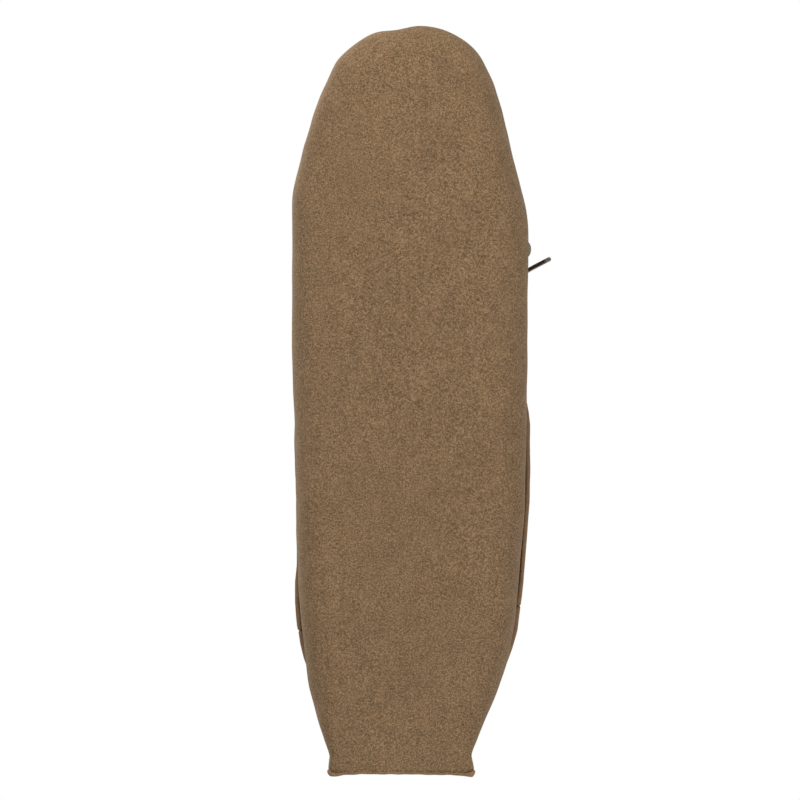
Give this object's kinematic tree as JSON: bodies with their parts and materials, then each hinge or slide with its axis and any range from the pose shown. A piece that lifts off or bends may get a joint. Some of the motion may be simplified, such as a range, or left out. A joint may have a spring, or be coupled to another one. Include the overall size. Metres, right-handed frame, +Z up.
{
  "type": "moccasin",
  "caption": "Soft-sole suede moccasin for the right foot, with a gathered toe and plug, fold-down cuff, tongue, padded insole and a flat leather lace tied in a bow",
  "frame": {"origin": "on the ground plane under the middle of the shoe without its free lace, in X and Y", "axes": "+Z up, -Y towards the toe, +Y towards the heel, +X towards the medial side of the right foot"},
  "size_m": [0.0884, 0.2504, 0.0716],
  "materials": {
    "suede": "taupe suede with a short nap",
    "seam_thread": "waxed brown thread",
    "lace_leather": "dark smooth leather with a paler flesh side",
    "insole_foam": "soft open foam",
    "sock_lining": "thin unlined leather"
  },
  "bodies": {
    "shoe": {"moccasin_body": "suede", "vamp_plug": "suede", "plug_seam_thread": "seam_thread", "tongue_seam_thread": "seam_thread", "collar_facing": "suede", "cuff_heel": "suede", "collar_seam_thread": "seam_thread", "back_seam_thread": "seam_thread", "heel_base_thread": "seam_thread", "lace_collar_run": "lace_leather", "lace_lead_medial": "lace_leather", "lace_lead_lateral": "lace_leather", "bow_knot": "lace_leather", "bow_loop_medial": "lace_leather", "bow_loop_lateral": "lace_leather", "lace_tail_medial": "lace_leather", "lace_tail_lateral": "lace_leather", "insole_foam": "insole_foam", "sock_lining": "sock_lining"},
    "tongue_flap": {"tongue": "suede"},
    "medial_flap": {"cuff_medial": "suede"},
    "lateral_flap": {"cuff_lateral": "suede"}
  },
  "joints": [
    {"name": "tongue_fold", "type": "hinge", "parent": "shoe", "child": "tongue_flap", "pos_m": [0, -0.0172, 0.0592], "axis": [1, 0, 0], "range_deg": [-8, 60]},
    {"name": "medial_flap_fold", "type": "hinge", "parent": "shoe", "child": "medial_flap", "pos_m": [0.0304, 0.031, 0.0496], "axis": [0, -1, 0], "range_deg": [0, 85]},
    {"name": "lateral_flap_fold", "type": "hinge", "parent": "shoe", "child": "lateral_flap", "pos_m": [-0.031, 0.033, 0.0506], "axis": [0, 1, 0], "range_deg": [0, 85]}
  ]
}
